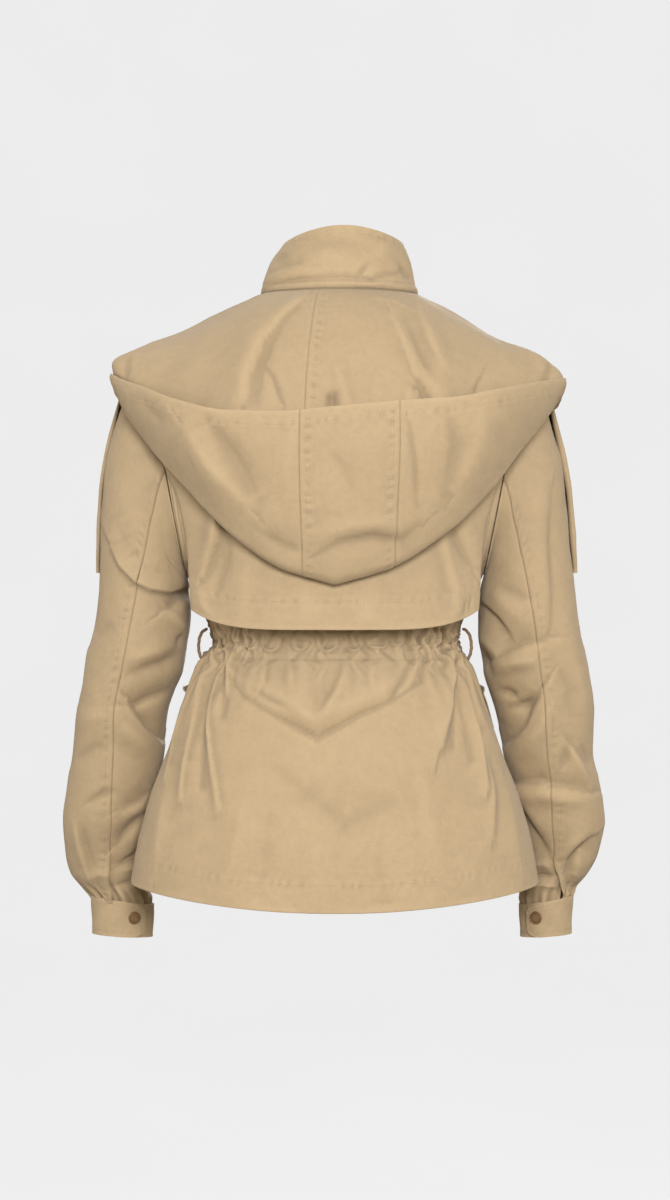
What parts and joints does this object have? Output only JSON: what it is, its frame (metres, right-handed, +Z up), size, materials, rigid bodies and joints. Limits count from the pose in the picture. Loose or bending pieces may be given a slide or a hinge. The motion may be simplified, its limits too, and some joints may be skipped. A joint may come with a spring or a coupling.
{
  "type": "hooded utility jacket with a cape back",
  "caption": "Worn, empty hooded jacket with its hood thrown back, a cape over the back, a gathered drawcord waist, patch pockets and snapped cuffs.",
  "frame": {"origin": "centre of the neck opening at the height of the collar seam", "axes": "+Z up out of the neck, the front faces -Y, the wearer's left is +X"},
  "size_m": [0.5459, 0.3304, 0.7112],
  "materials": {
    "tan_cloth": "matt cotton twill, topstitched",
    "brown_cord": "woven cord",
    "antique_brass": "dark antique brass"
  },
  "bodies": {
    "root": {"back_cape": "tan_cloth", "body_back": "tan_cloth", "body_front_left": "tan_cloth", "body_front_right": "tan_cloth", "collar": "tan_cloth", "cuff_left": "tan_cloth", "cuff_right": "tan_cloth", "cuff_snap_left": "antique_brass", "cuff_snap_right": "antique_brass", "drawcord_left": "brown_cord", "drawcord_right": "brown_cord", "front_cape_left": "tan_cloth", "front_cape_right": "tan_cloth", "front_placket": "tan_cloth", "hood_centre": "tan_cloth", "hood_left": "tan_cloth", "hood_right": "tan_cloth", "placket_snap_1": "antique_brass", "placket_snap_2": "antique_brass", "placket_snap_3": "antique_brass", "placket_snap_4": "antique_brass", "placket_snap_5": "antique_brass", "pocket_flap_left": "tan_cloth", "pocket_flap_right": "tan_cloth", "pocket_left": "tan_cloth", "pocket_right": "tan_cloth", "sleeve_top_left": "tan_cloth", "sleeve_top_right": "tan_cloth", "sleeve_under_left": "tan_cloth", "sleeve_under_right": "tan_cloth"}
  },
  "joints": []
}
